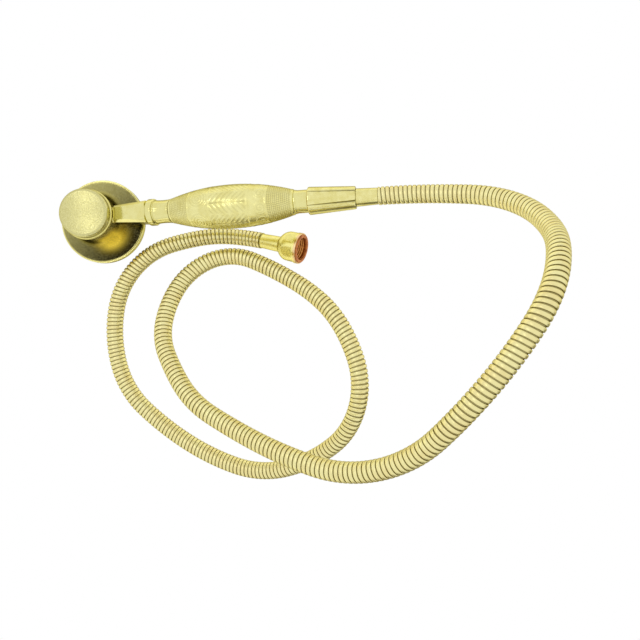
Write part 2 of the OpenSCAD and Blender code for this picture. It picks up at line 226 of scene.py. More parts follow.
def turned_rows(radius, angle, along):
    """Points [along, around, xyz] from radii, angles and distances along an axis."""
    radius, angle, along = np.broadcast_arrays(radius, angle, along)
    return np.stack([radius * np.cos(angle), radius * np.sin(angle), along], -1)


def arc_points(centre, radius, start_deg, end_deg, steps):
    angles = np.radians(np.linspace(start_deg, end_deg, steps))
    return [(centre[0] + radius * math.cos(a), centre[1] + radius * math.sin(a)) for a in angles]


def smooth_step(low, high, x):
    t = np.clip((np.asarray(x, float) - low) / (high - low), 0, 1)
    return t * t * (3 - 2 * t)


# ---- Materials ----


class Nodes:
    """Short names for building a material's nodes."""

    def __init__(self, name):
        self.material = bpy.data.materials.new(name)
        self.material.use_nodes = True
        self.tree = self.material.node_tree
        self.shader = self.tree.nodes["Principled BSDF"]

    def add(self, kind, **settings):
        node = self.tree.nodes.new(kind)
        for key, value in settings.items():
            if key in node.inputs:
                node.inputs[key].default_value = value
            else:
                setattr(node, key, value)
        return node

    def link(self, output, target):
        self.tree.links.new(output, target)

    def noise(self, scale, detail=3, roughness=0.5):
        node = self.add("ShaderNodeTexNoise", Scale=scale, Detail=detail, Roughness=roughness)
        self.link(self.add("ShaderNodeTexCoord").outputs["Object"], node.inputs["Vector"])
        return node.outputs["Fac"]

    def ramp(self, value, *stops):
        """Colour from a value by (position, colour) stops."""
        node = self.add("ShaderNodeValToRGB")
        points = node.color_ramp.elements
        while len(points) < len(stops):
            points.new(0.5)
        for point, (position, colour) in zip(points, stops):
            point.position, point.color = position, (*colour, 1)
        self.link(value, node.inputs["Fac"])
        return node.outputs["Color"]

    def scale_to(self, value, low, high):
        node = self.add("ShaderNodeMapRange")
        node.inputs["To Min"].default_value, node.inputs["To Max"].default_value = low, high
        self.link(value, node.inputs["Value"])
        return node.outputs["Result"]

    def mix(self, share, a, b):
        """Colour between a and b, each a colour or another node's output."""
        node = self.add("ShaderNodeMix", data_type="RGBA")
        for socket, value in ((node.inputs[0], share), (node.inputs[6], a), (node.inputs[7], b)):
            if isinstance(value, bpy.types.NodeSocket):
                self.link(value, socket)
            elif isinstance(value, (int, float)):
                socket.default_value = value
            else:
                socket.default_value = (*value, 1)
        return node.outputs[2]

    def speckled(self, value, low, high):
        """Value times a coarse grain that runs from low to high."""
        grain = self.scale_to(self.noise(SPECKLE_SCALE, 4, 0.75), low, high)
        node = self.add("ShaderNodeMath", operation="MULTIPLY")
        self.link(value, node.inputs[0])
        self.link(grain, node.inputs[1])
        return node.outputs[0]

    def attribute(self, name):
        return self.add("ShaderNodeAttribute", attribute_name=name).outputs["Fac"]

    def bump(self, height, distance_mm):
        node = self.add("ShaderNodeBump", Strength=1, Distance=distance_mm * MM)
        self.link(height, node.inputs["Height"])
        self.link(node.outputs["Normal"], self.shader.inputs["Normal"])


def srgb(r, g, b):
    """Linear colour from 0-255 screen values."""
    return tuple(((c / 255 + 0.055) / 1.055) ** 2.4 if c > 10 else c / 3294 for c in (r, g, b))


GOLD_LIGHT = srgb(234, 228, 158)
GOLD = srgb(228, 219, 142)
GOLD_DEEP = srgb(214, 203, 122)
# Painted shade: dark colour for the shade in the hose nut's flutes.
GROOVE_SHADE = srgb(92, 82, 38)
# Painted reflection: amber colour of the barrel's reflection, painted on the bell's flare.
AMBER_REFLECTION = srgb(250, 218, 74)
EDGE_TINT = (0.36, 0.34, 0.25)  # colour of the metal where it is seen at a glancing angle
SPECKLE_SCALE = 800
REFLECTION_SPECKLE = (0.5, 1.3)  # weakest and strongest share of amber in the painted reflection patch
REFLECTION_METALLIC = 0.1  # the painted reflection patch mirrors less, so that it stays bright beside the dark flare


def gold(name, light, deep, rough=(0.1, 0.2), cloud=140, grain=2600, grain_mm=0.012,
         painted_shade=None, painted_shade_colour=GROOVE_SHADE, speckle=0, painted_reflection=None):
    """Polished pale gold with cloudy colour, fine marks in the polish, and places darker with painted shade
    or warmer with a painted amber reflection.

    rough is the lowest and highest roughness. cloud and grain are the scales of the clouds and of the
    marks, which are grain_mm deep. The two attribute arguments name the mesh attributes that say where
    painted shade darkens the metal and where a painted amber reflection tints it, and speckle is how much
    the painted shade varies.
    """
    n = Nodes(name)
    colour = n.ramp(n.noise(cloud, 4, 0.6), (0.3, deep), (0.62, light))
    fine = n.noise(grain, 2, 0.6)
    if painted_shade:
        share = n.attribute(painted_shade)
        if speckle:
            share = n.speckled(share, 1 - speckle, 1 + speckle)
        colour = n.mix(share, colour, painted_shade_colour)
    n.shader.inputs["Metallic"].default_value = 1
    if painted_reflection:
        share = n.speckled(n.attribute(painted_reflection), *REFLECTION_SPECKLE)
        colour = n.mix(share, colour, AMBER_REFLECTION)
        n.link(n.scale_to(share, 1, REFLECTION_METALLIC), n.shader.inputs["Metallic"])
    n.link(colour, n.shader.inputs["Base Color"])
    n.shader.inputs["Specular Tint"].default_value = (*EDGE_TINT, 1)
    n.link(n.scale_to(fine, *rough), n.shader.inputs["Roughness"])
    n.bump(fine, grain_mm)
    return n.material


def moulded(name, light, deep, rough, grain=1500, grain_mm=0.03):
    """Moulded rubber or plastic: slightly uneven colour, satin skin and fine grain."""
    n = Nodes(name)
    n.link(n.ramp(n.noise(260, 3), (0.3, deep), (0.7, light)), n.shader.inputs["Base Color"])
    fine = n.noise(grain, 3, 0.6)
    n.link(n.scale_to(fine, *rough), n.shader.inputs["Roughness"])
    n.bump(fine, grain_mm)
    return n.material


GOLD_BODY = gold("gold_body", GOLD_LIGHT, GOLD)
# The cap's gold is darker than the rest, painted shade that offsets the extra light the lamps give it.
GOLD_CAP = gold("gold_cap", srgb(218, 212, 152), srgb(198, 191, 124), (0.2, 0.32), 1100, 900, 0.12)
# gold_bell takes painted shade on the inside of the flare and a painted amber reflection near the barrel's
# foot.
GOLD_BELL = gold("gold_bell", GOLD, GOLD_DEEP, (0.12, 0.3), 300, 1300, 0.05, painted_shade="painted_shade",
                 painted_shade_colour=srgb(30, 25, 11), speckle=0.3, painted_reflection="painted_reflection")
# gold_grip takes painted shade in the hollows of the chasing.
GOLD_GRIP = gold("gold_grip", srgb(240, 234, 164), GOLD, (0.16, 0.3), 120, 1300, 0.03, painted_shade="painted_shade",
                 painted_shade_colour=srgb(150, 138, 72))
GOLD_NUT = gold("gold_nut", srgb(240, 233, 164), srgb(224, 214, 134), (0.12, 0.24), 200, 2400, 0.02,
                painted_shade="painted_shade")
GOLD_TAP = gold("gold_tap", srgb(252, 243, 160), srgb(246, 236, 146), (0.28, 0.4), 200, 2400, 0.02)
# gold_hose takes painted shade in the grooves between the wound bands.
GOLD_HOSE = gold("gold_hose", srgb(243, 235, 172), srgb(238, 224, 158), (0.26, 0.4), 90, 2200, 0.012,
                 painted_shade="painted_shade", painted_shade_colour=srgb(120, 106, 56))
PEACH_LIP = gold("gold_lip", srgb(250, 222, 170), srgb(240, 202, 146), (0.25, 0.35), 300, 2400, 0.02)
BRASS = gold("brass_raw", srgb(214, 176, 92), srgb(176, 136, 60), (0.24, 0.4), 260, 1800, 0.04)
THREAD = gold("thread_copper", srgb(226, 164, 92), srgb(176, 106, 54), (0.3, 0.45), 700, 1800, 0.05)
STEEL = gold("steel", srgb(205, 205, 206), srgb(165, 166, 168), (0.18, 0.3), 260, 2200, 0.02)
RUBBER = moulded("rubber_black", srgb(46, 45, 44), srgb(28, 28, 28), (0.5, 0.7))
RED_RUBBER = moulded("rubber_red", srgb(206, 126, 54), srgb(150, 74, 24), (0.5, 0.7), 900, 0.06)
NYLON = moulded("nylon_white", srgb(236, 233, 222), srgb(219, 214, 200), (0.3, 0.45), 1200, 0.02)
LINER_SKIN = moulded("liner_skin", srgb(214, 214, 206), srgb(190, 190, 180), (0.25, 0.4), 900, 0.02)


# ---- Head ----

RIM_HIGH = reach("rim_ring", HEAD)[1]
RIM_R = reach("rim_ring", HEAD)[2]
SKIRT_R = RIM_R - 1
BARREL_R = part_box("cap_seal")[1].x / MM + 2.9
BARREL_TOP = reach("bell_shell", HEAD)[1]
CAP_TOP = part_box("back_cap")[1].z / MM
SHELF_Z = reach("face_seal", HEAD)[1]
CAP_SEAT_Z = reach("cap_seal", HEAD)[0]
PLATE_Z = reach("spray_plate", HEAD)[0]
PLATE_R = reach("spray_plate", HEAD)[2]
FLARE_TOP = 22
FLARE_R = SKIRT_R + 0.3 - BARREL_R
WALL = 2
DARK_TURN, REFLECTION_TURN = math.radians(-50), math.radians(-58)  # where the painted shade on the flare is darkest, and the painted amber reflection strongest
REFLECTION_R, REFLECTION_REACH, REFLECTION_SPREAD = BARREL_R + 1.5, 5.5, 0.5  # mm, mm and radians


def bell():
    """Trumpet-shaped bell, its barrel with a bead at the top, and the boss for the neck."""
    lip, bore_r = PLATE_Z + 0.05, BARREL_R - 4.8
    skirt_z = FLARE_TOP - math.sqrt(FLARE_R ** 2 - (BARREL_R + FLARE_R - SKIRT_R) ** 2)
    centre = (BARREL_R + FLARE_R, FLARE_TOP)
    rim_angle = math.degrees(math.asin((FLARE_TOP - skirt_z) / FLARE_R))
    outline = [(SKIRT_R - 0.2, lip), (SKIRT_R, lip + 0.2), (SKIRT_R, skirt_z)]
    outline += arc_points(centre, FLARE_R, 180 + rim_angle, 180, 40)[1:]
    outline += [(BARREL_R, BARREL_TOP - 3.2)]
    outline += arc_points((BARREL_R - 0.1, BARREL_TOP - 1.35), 1.3, -60, 88, 12)
    outline += [(BARREL_R - 2.75, BARREL_TOP), (BARREL_R - 2.8, CAP_SEAT_Z), (bore_r, CAP_SEAT_Z)]
    outline += [(bore_r, FLARE_TOP - 6)]
    outline += arc_points(centre, FLARE_R + WALL, 195, 222, 12)
    outline += [(PLATE_R - 1.8, SHELF_Z + 0.05), (PLATE_R + 0.2, SHELF_Z), (PLATE_R + 0.2, lip)]
    shell = lathe_parts(outline, 160)
    boss_r, boss_end = 6.5, 22
    boss = rounded([(0, 13), (boss_r - 1.2, 13), (boss_r + 0.4, 19.6, 1), (boss_r, 20.4, 0.4),
                    (boss_r, boss_end, 0.7), (0, boss_end)], 4)
    boss_points, boss_faces = lathe_parts(boss, 72)
    points, faces = merge([shell, (carry(HANDLE, boss_points), boss_faces)])
    radius = np.hypot(points[:, 0], points[:, 1])
    turn = np.arctan2(points[:, 1], points[:, 0])
    # Painted shade: the inside of the flare is darkened, most towards DARK_TURN, in place of the shade and
    # dark reflections between barrel and rim.
    hollow = smooth_step(SKIRT_R + 0.1, SKIRT_R - 0.9, radius)
    hollow = hollow * smooth_step(FLARE_TOP + 13, FLARE_TOP - 2, points[:, 2])
    shade = 0.7 + 0.3 * np.cos(turn - DARK_TURN)
    # Painted reflection: an amber patch by the barrel's foot stands in for the barrel's gold mirrored in
    # the flare.
    amber = np.exp(-((radius - REFLECTION_R) / REFLECTION_REACH) ** 2 - ((turn - REFLECTION_TURN) / REFLECTION_SPREAD) ** 2)
    amber = np.minimum(1.6 * amber, 1) * hollow
    piece = mesh_object("bell", points, faces, GOLD_BELL,
                        attributes={"painted_shade": shade * hollow, "painted_reflection": amber})
    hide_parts("bell_shell")
    return piece


def rim():
    """Bright bead ring round the bell's mouth, with a lip under the spray plate."""
    inner = PLATE_R - 3.4
    seat_r = SKIRT_R + 0.05
    outline = rounded([(inner, 0, 0.3), (RIM_R, 0, 0.95), (RIM_R, RIM_HIGH, 0.5), (seat_r, RIM_HIGH, 0.2),
                       (seat_r, PLATE_Z), (inner, PLATE_Z, 0.3)], 6)
    piece = lathe("rim_bead", outline, HEAD, GOLD_BODY, 160)
    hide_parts("rim_ring")
    return piece


def spray_plate():
    """Face plate with a raised ring round each nozzle hole."""
    low, top = PLATE_Z, PLATE_Z + 1.5
    nozzle_r, ring_step, rings, screw_r = 0.6, 5, 5, 1.7
    plate = [lathe_parts(rounded([(screw_r, low, 0.1), (PLATE_R, low, 0.3), (PLATE_R, top, 0.2),
                                  (screw_r, top, 0.1)], 3), 120)]
    nozzle = rounded([(nozzle_r - 0.25, low + 0.3), (nozzle_r, low - 0.65, 0.12),
                      (nozzle_r + 0.35, low - 0.65, 0.2), (nozzle_r + 0.85, low + 0.05, 0.1)], 3)
    for k in range(1, rings + 1):
        for i in range(6 * k):
            a, r = i * TAU / (6 * k), 1 + ring_step * k
            points, faces = lathe_parts(nozzle, 16)
            plate.append((np.array(points) + (r * math.cos(a), r * math.sin(a), 0), faces))
    points, faces = merge(plate)
    piece = mesh_object("spray_face", points, faces, GOLD_BODY)
    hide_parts("spray_plate")
    return piece


def cap():
    """Low domed cap with a rolled edge and a short skirt that sits in the barrel."""
    cap_r, roll, crown_r = BARREL_R + 0.2, 2.9, 160
    roll_centre = (cap_r - roll, CAP_TOP - roll - (cap_r - roll) ** 2 / (2 * crown_r))
    outline = [(r, CAP_TOP - crown_r + math.sqrt(crown_r ** 2 - r ** 2))
               for r in np.linspace(0, cap_r - roll, 14)]
    outline += arc_points(roll_centre, roll, 83, 0, 14)
    outline += [(cap_r, BARREL_TOP + 0.25), (cap_r - 0.25, BARREL_TOP)]
    skirt_r, skirt_z, hollow_r, crown_in = BARREL_R - 2.9, CAP_SEAT_Z + 1.3, BARREL_R - 4.6, CAP_TOP - 3.5
    outline += rounded([(skirt_r, BARREL_TOP), (skirt_r, skirt_z, 0.3), (hollow_r, skirt_z, 0.3),
                        (hollow_r, crown_in, 1), (0, crown_in)], 4).tolist()
    piece = lathe("domed_cap", outline, HEAD, GOLD_CAP, 144)
    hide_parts("back_cap")
    return piece


def seal(name, node, material, round_mm=0.35, place=HEAD, body="handset"):
    """Soft ring in the space of its CAD solid, with rounded edges."""
    start, end, outer = reach(node, place)
    local = (node_points(node) - place[:3, 3]) @ place[:3, :3]
    inner = np.hypot(local[:, 0], local[:, 1]).min()
    outline = rounded([(inner, start, round_mm), (outer, start, round_mm), (outer, end, round_mm),
                       (inner, end, round_mm)], 5)
    piece = lathe(name, outline, place, material, 96)
    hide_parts(node)
    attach(piece, body)
    return piece


# ---- Handle ----

GRIP_END_R = 9.8
TUBE_BORE = 6.05  # radius of the hole that the water tube passes through
THREAD_BORE = 9.32  # radius inside the hose's two nuts
ROUND = 112  # columns round a turned ring of the handle or the hose's fittings


def neck():
    """Square bar with broad chamfers that widens towards the grip."""
    start, end, _ = reach("neck_bar", HANDLE)
    bore_r, pin_r, pin_len = 3.5, 4.9, 5
    start += pin_len
    flats = (14, 18)
    chamfer_reach = 1.2  # distance of the chamfers from the axis, over that of the flats
    stations = [(0, 1), (0.2, 0.55), (0.55, 0.2), (1.1, 0), (end - start - 0.1, 0), (end - start, 0.15)]
    rows = []
    for along, inset in stations:
        w = (flats[0] + (flats[1] - flats[0]) * along / (end - start)) / 2 - inset
        flat = (chamfer_reach * math.sqrt(2) - 1) * w
        chamfer = [(w, flat, 0.35), (flat, w, 0.35)]
        outline = []
        for turn in range(4):
            c, s = round(math.cos(turn * TAU / 4)), round(math.sin(turn * TAU / 4))
            outline += [(x * c - y * s, x * s + y * c, r) for x, y, r in chamfer]
        rows.append([(x, y, start + along) for x, y in rounded(outline, 4)])
    rows = np.array(rows)
    around = np.arctan2(rows[0, :, 1], rows[0, :, 0])

    def turn_at(r, s):
        return np.stack([r * np.cos(around), r * np.sin(around), np.full_like(around, s)], 1)

    front = [turn_at(bore_r, start - pin_len), turn_at(pin_r - 0.3, start - pin_len),
             turn_at(pin_r, start - pin_len + 0.3), turn_at(pin_r, start)]
    back = [turn_at(TUBE_BORE, end), turn_at(TUBE_BORE, end - 4), turn_at(bore_r, end - 4)]
    loop = np.concatenate([front, rows, back])
    faces = grid_faces(len(loop), loop.shape[1], close_rows=True)
    piece = mesh_object("neck", carry(HANDLE, loop.reshape(-1, 3)), faces, GOLD_BODY, 30)
    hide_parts("neck_bar")
    return piece


def bead():
    """Round bead between two narrow flats."""
    start, end, _ = reach("bead_ring", HANDLE)
    low, high = 9.6, 11
    outline = rounded([(TUBE_BORE, start, 0.2), (low, start, 0.3), (low, start + 0.9, 0.25),
                       (high, start + 1.1, 1.9), (high, end - 1.1, 1.9), (low, end - 0.9, 0.25),
                       (low, end, 0.3), (TUBE_BORE, end, 0.2)], 7)
    piece = lathe("neck_bead", outline, HANDLE, GOLD_BODY, ROUND)
    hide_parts("bead_ring")
    return piece


def front_collar():
    """Slightly waisted collar with a spigot that plugs into the grip."""
    start, end, _ = reach("front_collar", HANDLE)
    spigot = 3
    length = end - start - spigot
    waist, wide, plug = 9.4, GRIP_END_R, GRIP_END_R - WALL + 0.1
    outline = [(TUBE_BORE, start), (wide - 0.25, start)]
    outline += [(waist + (wide - waist) * (2 * t - 1) ** 2, start + t * length)
                for t in np.linspace(0.03, 0.97, 15)]
    outline += [(wide - 0.25, start + length), (plug, start + length), (plug, end - 0.3),
                (plug - 0.3, end), (TUBE_BORE, end)]
    piece = lathe("grip_front_collar", outline, HANDLE, GOLD_BODY, ROUND)
    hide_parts("front_collar")
    return piece


def ridge(x, width):
    """Rounded ridge round x = 0, one at the middle and none past width."""
    return np.sqrt(np.clip(1 - (x / width) ** 2, 0, 1))


def grip_relief(along, angle, radius, length):
    """Height of the chased pattern, -1 to 1, at a distance along the grip and an angle round it."""
    repeats, pearl_step, leaf_step, spiral_step, net_step = 6, 1.5, 4.2, 2.3, 2.0
    arc = angle * radius
    mid = length / 2
    # beaded fields at both ends
    row = np.floor(along / pearl_step)
    beads_round = np.maximum(np.round(TAU * np.maximum(radius, 9) / pearl_step), 20)
    cell = (angle / TAU * beads_round + 0.5 * (row % 2)) % 1 - 0.5
    across = (along / pearl_step) % 1 - 0.5
    pearl = 1 - 2 * np.clip((cell ** 2 + across ** 2) / 0.2, 0, 1)
    ends = smooth_step(21, 17, along) + smooth_step(length - 27, length - 23, along)
    # chevrons of leaves round the middle
    sector = (angle / TAU * repeats) % 1 - 0.5
    fold = np.abs(sector) * TAU * radius / repeats
    vein = np.cos(TAU * (along - mid + 0.9 * fold) / leaf_step)
    spine = ridge(fold, 0.9)
    leaf_edge = ridge(fold - TAU * radius / repeats / 2, 0.8)
    leaves = np.maximum(0.75 * vein, 1.3 * spine - 0.3)
    leaves = np.where(leaf_edge > 0.1, -0.9 * leaf_edge, leaves)
    middle = smooth_step(mid - 17, mid - 13, along) * smooth_step(mid + 19, mid + 15, along)
    # scrolls either side of the middle
    out = np.zeros_like(along)
    cover = np.zeros_like(along)
    for centre, size, count, shift in ((28.5, 8.6, 5, 0.25), (length - 25.5, 4.6, 8, 0.0)):
        turn = (angle / TAU * count + shift) % 1 - 0.5
        x, y = along - centre, turn * TAU * radius / count
        r, a = np.hypot(x, y), np.arctan2(y, x)
        spiral = np.cos(TAU * (r / spiral_step - a / TAU))
        disc = smooth_step(size, size - 0.8, r)
        frame_ring = ridge(r - size, 0.55)
        field = np.cos(TAU * (arc + x) / net_step) * np.cos(TAU * (arc - x) / net_step) * 0.5
        band = smooth_step(centre - size - 1.5, centre - size + 0.5, along)
        band = band * smooth_step(centre + size + 1.5, centre + size - 0.5, along)
        here = np.maximum(disc * spiral + (1 - disc) * field, 1.2 * frame_ring - 0.2)
        out = out * (1 - band) + here * band
        cover = np.maximum(cover, band)
    height = 0.75 * pearl * ends * (1 - cover) + 0.75 * leaves * middle * (1 - cover) + 0.9 * out
    # plain raised lines between the fields
    for line in (1.1, 19.0, mid - 15, mid + 17, length - 21.0, length - 1.1):
        line_ridge = ridge(along - line, 0.75)
        height = np.where(line_ridge > 0, 1.25 * line_ridge - 0.1, height)
    return height


def grip():
    """Bowed grip, chased all over with beads, scrolls and leaves."""
    start, end, grip_r = reach("grip_shell", HANDLE)
    length, end_r, skin, depth = end - start, GRIP_END_R, 1.7, 0.2
    bow = grip_r - end_r
    bow_r = ((length / 2) ** 2 + bow ** 2) / (2 * bow)
    rows, inner_rows, columns = 262, 24, 320
    along = np.linspace(0, length, rows)[:, None] + np.zeros((1, columns))
    angle = np.arange(columns)[None, :] * TAU / columns + np.zeros((rows, 1))
    radius = grip_r - bow_r + np.sqrt(bow_r ** 2 - (along - length / 2) ** 2)
    relief = grip_relief(along, angle, radius, length)
    fade = smooth_step(0, 0.7, along) * smooth_step(length, length - 0.7, along)
    edge = 0.35 * (1 - smooth_step(0, 0.6, np.minimum(along, length - along)))
    shown = radius - depth + depth * relief * fade * 0.9 - edge

    def turned(r, s):
        return np.stack([r * np.cos(angle[: len(r)]), r * np.sin(angle[: len(r)]), start + s], -1)

    outer = turned(shown, along)
    inner_along = np.linspace(0, length, inner_rows)[:, None] + np.zeros((1, columns))
    inner_radius = grip_r - bow_r - skin + np.sqrt(bow_r ** 2 - (inner_along - length / 2) ** 2)
    inner = turned(inner_radius, inner_along)
    loop = np.concatenate([outer, inner[::-1]])
    faces = grid_faces(len(loop), columns, close_rows=True)
    # Painted shade: the hollows of the chasing are darkened, in place of the shade that falls in them.
    painted_shade = np.concatenate([np.clip(-relief * fade, 0, 1), np.zeros((inner_rows, columns))])
    piece = mesh_object("chased_grip", carry(HANDLE, loop.reshape(-1, 3)), faces, GOLD_GRIP, 60,
                        {"painted_shade": 0.7 * painted_shade.ravel()})
    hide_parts("grip_shell")
    return piece


def tail_collar():
    """Plain collar with a small lip against the grip."""
    start, end, lip_r = reach("tail_collar", HANDLE)
    face = start + 3
    plug = GRIP_END_R - WALL + 0.1
    lip_end, socket_r = face + 1.4, 7.95
    outline = rounded([(TUBE_BORE, start), (plug, start, 0.3), (plug, face), (lip_r, face, 0.35),
                       (lip_r, lip_end, 0.4), (lip_r - 0.35, lip_end + 0.3, 0.2), (lip_r - 0.35, end, 0.5),
                       (socket_r, end), (socket_r, lip_end), (TUBE_BORE, lip_end)], 5)
    piece = lathe("grip_tail_collar", outline, HANDLE, GOLD_BODY, ROUND)
    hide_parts("tail_collar")
    return piece


def spring():
    """Coil spring of the check valve, with closed ends."""
    start, end, _ = reach("valve_spring", HANDLE)
    wire_r, coil_r, turns, steps, sides = 0.3, 2.6, 5.5, 28, 12
    count = int(turns * steps)
    t = np.arange(count + 1) / count
    rise = start + wire_r + (end - start - 2 * wire_r) * smooth_step(0.06, 0.94, t)
    angle = TAU * turns * t
    points = []
    for a, s in zip(angle, rise):
        for w in np.arange(sides) * TAU / sides:
            r = coil_r + wire_r * math.cos(w)
            points.append((r * math.cos(a), r * math.sin(a), s + wire_r * math.sin(w)))
    faces = grid_faces(count + 1, sides, flip=True)
    faces += [tuple(range(sides)), tuple(range((count + 1) * sides - 1, count * sides - 1, -1))]
    piece = mesh_object("check_valve_spring", carry(HANDLE, points), faces, STEEL, 60)
    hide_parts("valve_spring")
    return piece


def tube_seals():
    """Two O-rings in the grooves of the water tube."""
    start, end, outer = reach("tube_seals", HANDLE)
    cord = 0.3
    rings = []
    for s in (start + cord, end - cord):
        rings.append(lathe_parts(arc_points((outer - cord, s), cord, 0, 345, 16), 72))
    points, faces = merge(rings)
    piece = mesh_object("tube_o_rings", carry(HANDLE, points), faces, RUBBER)
    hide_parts("tube_seals")
    return piece


# ---- Nut and ferrule at the handle ----


def fluted_nut():
    """Tapered nut with six narrow flutes that widen towards the hose."""
    start, end, wide_r = reach("fluted_nut", HANDLE)
    length, narrow_r, flutes = end - start, 8.85, 6
    neck_r, thread_len = 6.7, 19.4
    columns, rows = 252, 64
    along = np.concatenate([[0, 0.15, 0.4], np.linspace(0.8, length - 0.8, rows),
                            [length - 0.4, length - 0.12, length]])
    chamfer = 0.45 * np.clip(1 - np.minimum(along, length - along) / 0.8, 0, 1) ** 1.6
    # more columns near each flute than between
    sector = np.linspace(-0.5, 0.5, columns // flutes, endpoint=False)
    sector = 0.5 * np.sign(sector) * np.abs(2 * sector) ** 1.7
    angle = ((np.arange(flutes)[:, None] + 0.5 + sector) * TAU / flutes).ravel()
    radius = (wide_r + (narrow_r - wide_r) * along / length - chamfer)[:, None] + np.zeros((1, columns))
    off = ((angle / (TAU / flutes)) % 1 - 0.5) * TAU / flutes * radius
    share = np.clip(along / length, 0, 1)[:, None]
    groove_w = 0.32 + 0.75 * share
    depth = 0.15 + 0.95 * share
    groove = np.clip(1 - np.abs(off) / groove_w, 0, 1)
    radius = radius - depth * np.sqrt(groove)
    outer = turned_rows(radius, angle, start + along[:, None])
    bore = rounded([(THREAD_BORE, 0), (THREAD_BORE, thread_len), (neck_r, thread_len), (neck_r, length)], 1)
    bore = bore[::-1] + (0, start)
    inner = turned_rows(bore[:, :1], angle, bore[:, 1:])
    loop = np.concatenate([outer, inner])
    faces = grid_faces(len(loop), columns, close_rows=True)
    # Painted shade: the flutes are darkened, in place of the shade and dark reflections in them.
    painted_shade = np.concatenate([groove, np.zeros((len(bore), columns))])
    piece = mesh_object("fluted_hose_nut", carry(HANDLE, loop.reshape(-1, 3)), faces, GOLD_NUT, 28,
                        {"painted_shade": 0.9 * painted_shade.ravel()})
    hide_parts("fluted_nut")
    return piece


def ferrule(name, node, place, material, body, radii, collar_r):
    """Smooth tapered ferrule from body[0] to body[1] along its axis, with a thin collar at each end."""
    start, end, _ = reach(node, place)
    bore = 5.3
    outline = rounded([(bore, start), (collar_r[0], start, 0.2), (collar_r[0], body[0]),
                       (radii[0], body[0], 0.35), (radii[1], body[1], 0.45), (collar_r[1], body[1]),
                       (collar_r[1], end, 0.2), (bore, end)], 5)
    piece = lathe(name, outline, place, material, ROUND)
    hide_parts(node)
    return piece


def hose_ferrule():
    return ferrule("hose_ferrule", "handset_ferrule", HANDLE, GOLD_NUT,
                   (226.6, 243.4), (7.05, 6.4), (6.5, 5.5))


def tap_end_ferrule():
    return ferrule("tap_end_ferrule", "tap_ferrule", TAP, GOLD_TAP,
                   (0.1, 18.1), (6.3, 6.8), (5.5, 5.95))


# ---- Hose ----

HOSE_R, SHEATH_IN_R, LINER_R, LINER_IN_R = 7.0, 5.86, 5.2, 3.6
PITCH, BAND, AROUND = 3.45, 2.85, 40

# Places that the hose passes between one flex point and the next, in mm
BETWEEN = [
    [(338, -34, 137), (329, -68, 176)],
    [(227, -189, 149)],
    [(83, -140, 73), (65, -92, 50)],
    [(174, -64, 48), (208, -100, 63)],
    [(160, -216, 42)],
    [(12, -129, 9)],
    [(89, -18, 8)],
]
FLEX = [np.array(JOINTS[f"hose_bend_{k}"]["pos_m"]) / MM for k in range(1, 7)]
FERRULE_LIP = 3  # length of hose that each ferrule covers
HOSE_START = axis_start + handle_dir * (reach("handset_ferrule", HANDLE)[1] - FERRULE_LIP)


def tap_place():
    """Place of the metal hose's end behind the tap nut, along the nut's axis."""
    place = joint_place("tap_nut_spin")
    place[:3, 3] += place[:3, 2] * (reach("tap_ferrule", place)[0] + FERRULE_LIP)
    return place


TAP = tap_place()


class Centreline:
    """Smooth chain of arcs through the hose's places, with a frame that doesn't twist about it."""

    def __init__(self, places, first_dir, last_dir):
        places = [np.array(p, float) for p in places]
        ways = [first_dir]
        for before, here, after in zip(places, places[1:], places[2:]):
            u, v = here - before, after - here
            ways.append(unit(unit(u) * np.linalg.norm(v) + unit(v) * np.linalg.norm(u)))
        ways.append(last_dir)
        self.arcs, self.at_place, self.length = [], [0.0], 0.0
        self.side = unit(np.cross((0, 0, 1), first_dir))
        for p, q, t, u in zip(places, places[1:], ways, ways[1:]):
            v, s, k = q - p, t + u, 2 * (1 - t @ u)
            reach_len = (math.sqrt((v @ s) ** 2 + k * (v @ v)) - v @ s) / k
            meet = (p + q + reach_len * (t - u)) / 2
            self.add_arc(p, t, meet)
            chord = unit(meet - p)
            self.add_arc(meet, 2 * (chord @ t) * chord - t, q)
            self.at_place.append(self.length)

    def add_arc(self, p, t, q):
        c = q - p
        inward = unit(c - (c @ t) * t)
        angle = 2 * math.atan2(np.linalg.norm(np.cross(t, c)), c @ t)
        radius = np.linalg.norm(c) / (2 * math.sin(angle / 2))
        axis = np.cross(t, inward)
        self.arcs.append((self.length, p, t, inward, axis, radius, self.side))
        self.length += radius * angle
        self.side = self.turned(self.side, axis, np.array([angle]))[0]

    @staticmethod
    def turned(v, axis, angle):
        c, s = np.cos(angle)[:, None], np.sin(angle)[:, None]
        return v * c + np.cross(axis, v) * s + axis * (axis @ v) * (1 - c)

    def at(self, s):
        """Points, two directions across the hose, and inward vector / radius, at distances s."""
        s = np.clip(np.asarray(s, float).ravel(), 0, self.length)
        starts = np.array([arc[0] for arc in self.arcs])
        which = np.clip(np.searchsorted(starts, s, side="right") - 1, 0, len(self.arcs) - 1)
        point, side, up, bend = (np.zeros((len(s), 3)) for _ in range(4))
        for i, (start, p, t, inward, axis, radius, first_side) in enumerate(self.arcs):
            m = which == i
            if not m.any():
                continue
            angle = (s[m] - start) / radius
            c, w = np.cos(angle)[:, None], np.sin(angle)[:, None]
            point[m] = p + radius * (w * t + (1 - c) * inward)
            along = c * t + w * inward
            side[m] = self.turned(first_side, axis, angle)
            up[m] = np.cross(along, side[m])
            bend[m] = (c * inward - w * t) / radius
        return point, side, up, bend


def hose_places():
    places, stops = [HOSE_START], [0]
    for link, between in enumerate(BETWEEN):
        places += list(between)
        places.append(FLEX[link] if link < len(FLEX) else TAP[:3, 3])
        stops.append(len(places) - 1)
    return places, stops


PLACES, STOPS = hose_places()
LINE = Centreline(PLACES, handle_dir, TAP[:3, 2])
STOP_S = [LINE.at_place[i] for i in STOPS]


